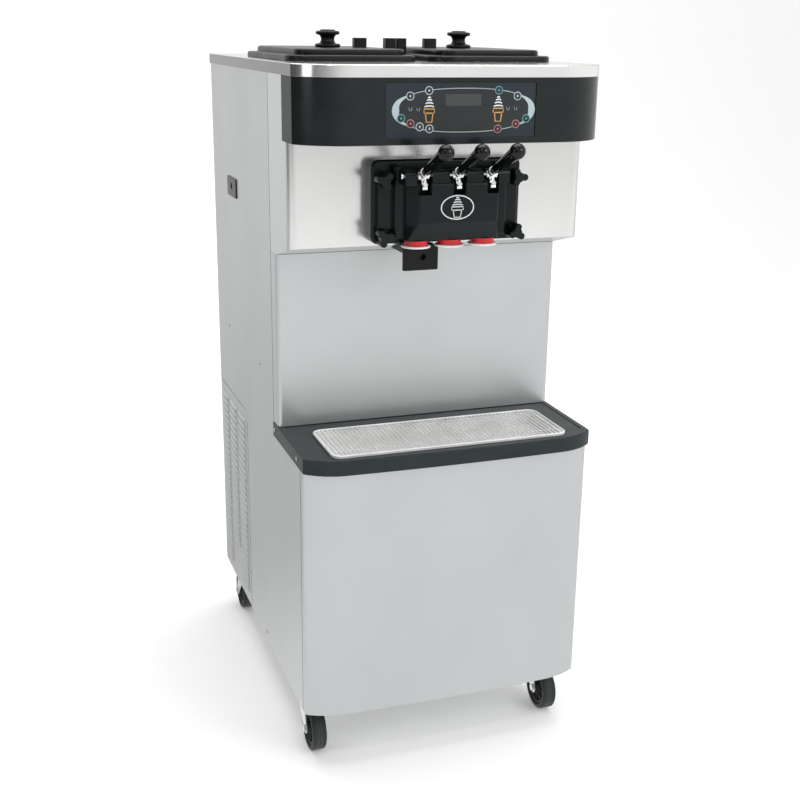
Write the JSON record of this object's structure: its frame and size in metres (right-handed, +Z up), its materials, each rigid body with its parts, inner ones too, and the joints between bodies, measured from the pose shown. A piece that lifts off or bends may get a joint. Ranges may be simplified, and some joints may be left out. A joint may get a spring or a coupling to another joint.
{
  "type": "soft serve machine",
  "caption": "Floor-standing twin-twist soft serve machine on swivel casters, with lever-drawn dispensing door, twin lidded hoppers, drip shelf and stainless cabinet.",
  "frame": {"origin": "on the floor under the middle of the machine's overall box", "axes": "+X to the right seen from the front, +Y from the front to the back, +Z up"},
  "size_m": [0.6464, 0.9897, 1.55],
  "materials": {
    "brushed_stainless": "vertical brushed grain, satin",
    "polished_stainless": "fine brushed, bright",
    "structural_steel": "galvanised",
    "fascia_black": "satin gloss black",
    "shelf_charcoal": "fine moulded texture",
    "door_black": "satin moulded",
    "lid_black": "satin moulded",
    "grip_black": "polished",
    "overlay_slate": "membrane film",
    "cap_red": "moulded",
    "food_white": "food grade",
    "chrome": "polished",
    "wire_white": "plastic-dipped wire",
    "zinc": "zinc plated",
    "caster_rubber": "moulded tread",
    "board_green": "circuit board",
    "foam_jacket": "closed-cell foam over a steel barrel",
    "motor_grey": "enamel",
    "compressor_black": "enamel",
    "fin_aluminium": "finned block",
    "fan_grey": "moulded",
    "gasket_rubber": "food grade",
    "screw_steel": "plain"
  },
  "bodies": {
    "cabinet": {"base_frame": "structural_steel", "base_front_panel": "brushed_stainless", "base_side_panels": "brushed_stainless", "caster_plates": "zinc", "compressor": "compressor_black", "condenser": "fin_aluminium", "control_bezel": "fascia_black", "control_board": "board_green", "control_overlay": "overlay_slate", "dispensing_door": "door_black", "door_gaskets": "gasket_rubber", "door_studs": "screw_steel", "electrical_box": "motor_grey", "fan_motor": "motor_grey", "freezing_cylinders": "foam_jacket", "gearmotors": "motor_grey", "hand_screws": "door_black", "handle_pivot_pin": "chrome", "hoppers": "polished_stainless", "louver_panel_left": "brushed_stainless", "louver_panel_right": "brushed_stainless", "middle_front_panel": "brushed_stainless", "panel_screws": "screw_steel", "rear_panel": "brushed_stainless", "shelf": "shelf_charcoal", "side_panel_left": "brushed_stainless", "side_panel_right": "brushed_stainless", "star_caps": "cap_red", "top_cap": "polished_stainless", "upper_front_panel": "polished_stainless"},
    "front_left_swivel": {"caster_fork_front_left": "zinc"},
    "front_left_wheel": {"caster_wheel_front_left": "caster_rubber"},
    "front_right_swivel": {"caster_fork_front_right": "zinc"},
    "front_right_wheel": {"caster_wheel_front_right": "caster_rubber"},
    "rear_left_swivel": {"caster_fork_rear_left": "zinc"},
    "rear_left_wheel": {"caster_wheel_rear_left": "caster_rubber"},
    "rear_right_swivel": {"caster_fork_rear_right": "zinc"},
    "rear_right_wheel": {"caster_wheel_rear_right": "caster_rubber"},
    "left_handle": {"draw_handle_left": "chrome", "handle_grip_left": "grip_black"},
    "left_valve": {"draw_valve_left": "food_white"},
    "centre_handle": {"draw_handle_centre": "chrome", "handle_grip_centre": "grip_black"},
    "centre_valve": {"draw_valve_centre": "food_white"},
    "right_handle": {"draw_handle_right": "chrome", "handle_grip_right": "grip_black"},
    "right_valve": {"draw_valve_right": "food_white"},
    "left_prime_plug": {"prime_plug_left": "door_black"},
    "left_lid": {"hopper_lid_left": "lid_black", "lid_knob_left": "lid_black"},
    "left_beater": {"beater_left": "polished_stainless"},
    "right_prime_plug": {"prime_plug_right": "door_black"},
    "right_lid": {"hopper_lid_right": "lid_black", "lid_knob_right": "lid_black"},
    "right_beater": {"beater_right": "polished_stainless"},
    "front_pan": {"front_drip_pan": "lid_black"},
    "side_pan": {"side_drip_pan": "lid_black"},
    "drip_assembly": {"drip_tray": "food_white", "splash_grid": "wire_white"},
    "fan": {"condenser_fan": "fan_grey"}
  },
  "joints": [
    {"name": "front_left_swivel_turn", "type": "hinge", "parent": "cabinet", "child": "front_left_swivel", "pos_m": [-0.281, -0.246, 0.114], "axis": [0, 0, 1], "continuous": true},
    {"name": "front_left_wheel_roll", "type": "hinge", "parent": "front_left_swivel", "child": "front_left_wheel", "pos_m": [-0.281, -0.284, 0.051], "axis": [1, 0, 0], "continuous": true},
    {"name": "front_right_swivel_turn", "type": "hinge", "parent": "cabinet", "child": "front_right_swivel", "pos_m": [0.281, -0.246, 0.114], "axis": [0, 0, 1], "continuous": true},
    {"name": "front_right_wheel_roll", "type": "hinge", "parent": "front_right_swivel", "child": "front_right_wheel", "pos_m": [0.281, -0.284, 0.051], "axis": [1, 0, 0], "continuous": true},
    {"name": "rear_left_swivel_turn", "type": "hinge", "parent": "cabinet", "child": "rear_left_swivel", "pos_m": [-0.281, 0.405, 0.114], "axis": [0, 0, 1], "continuous": true},
    {"name": "rear_left_wheel_roll", "type": "hinge", "parent": "rear_left_swivel", "child": "rear_left_wheel", "pos_m": [-0.281, 0.443, 0.051], "axis": [1, 0, 0], "continuous": true},
    {"name": "rear_right_swivel_turn", "type": "hinge", "parent": "cabinet", "child": "rear_right_swivel", "pos_m": [0.281, 0.405, 0.114], "axis": [0, 0, 1], "continuous": true},
    {"name": "rear_right_wheel_roll", "type": "hinge", "parent": "rear_right_swivel", "child": "rear_right_wheel", "pos_m": [0.281, 0.443, 0.051], "axis": [1, 0, 0], "continuous": true},
    {"name": "left_handle_pull", "type": "hinge", "parent": "cabinet", "child": "left_handle", "pos_m": [-0.072, -0.354, 1.28], "axis": [1, 0, 0], "range_deg": [0, 45]},
    {"name": "left_valve_lift", "type": "slide", "parent": "cabinet", "child": "left_valve", "axis": [0, 0, 1], "range_m": [0, 0.0247]},
    {"name": "centre_handle_pull", "type": "hinge", "parent": "cabinet", "child": "centre_handle", "pos_m": [0, -0.354, 1.28], "axis": [1, 0, 0], "range_deg": [0, 45]},
    {"name": "centre_valve_lift", "type": "slide", "parent": "cabinet", "child": "centre_valve", "axis": [0, 0, 1], "range_m": [0, 0.0247]},
    {"name": "right_handle_pull", "type": "hinge", "parent": "cabinet", "child": "right_handle", "pos_m": [0.072, -0.354, 1.28], "axis": [1, 0, 0], "range_deg": [0, 45]},
    {"name": "right_valve_lift", "type": "slide", "parent": "cabinet", "child": "right_valve", "axis": [0, 0, 1], "range_m": [0, 0.0247]},
    {"name": "left_prime_plug_pull", "type": "slide", "parent": "cabinet", "child": "left_prime_plug", "axis": [0, 0, 1], "range_m": [0, 0.02]},
    {"name": "left_lid_lift", "type": "slide", "parent": "cabinet", "child": "left_lid", "axis": [0, 0, 1], "range_m": [0, 0.12]},
    {"name": "left_beater_spin", "type": "hinge", "parent": "cabinet", "child": "left_beater", "pos_m": [-0.085, 0, 1.225], "axis": [0, 1, 0], "continuous": true},
    {"name": "right_prime_plug_pull", "type": "slide", "parent": "cabinet", "child": "right_prime_plug", "axis": [0, 0, 1], "range_m": [0, 0.02]},
    {"name": "right_lid_lift", "type": "slide", "parent": "cabinet", "child": "right_lid", "axis": [0, 0, 1], "range_m": [0, 0.12]},
    {"name": "right_beater_spin", "type": "hinge", "parent": "cabinet", "child": "right_beater", "pos_m": [0.085, 0, 1.225], "axis": [0, 1, 0], "continuous": true},
    {"name": "front_pan_slide", "type": "slide", "parent": "cabinet", "child": "front_pan", "axis": [0, -1, 0], "range_m": [0, 0.2]},
    {"name": "side_pan_slide", "type": "slide", "parent": "cabinet", "child": "side_pan", "axis": [-1, 0, 0], "range_m": [0, 0.24]},
    {"name": "drip_assembly_lift", "type": "slide", "parent": "cabinet", "child": "drip_assembly", "axis": [0, 0, 1], "range_m": [0, 0.08]},
    {"name": "fan_spin", "type": "hinge", "parent": "cabinet", "child": "fan", "pos_m": [-0.205, 0.335, 0.37], "axis": [1, 0, 0], "continuous": true}
  ],
  "couplings": [
    {"joint": "left_valve_lift", "follows": "left_handle_pull", "m_per_rad": 0.03145},
    {"joint": "centre_valve_lift", "follows": "centre_handle_pull", "m_per_rad": 0.03145},
    {"joint": "right_valve_lift", "follows": "right_handle_pull", "m_per_rad": 0.03145}
  ]
}
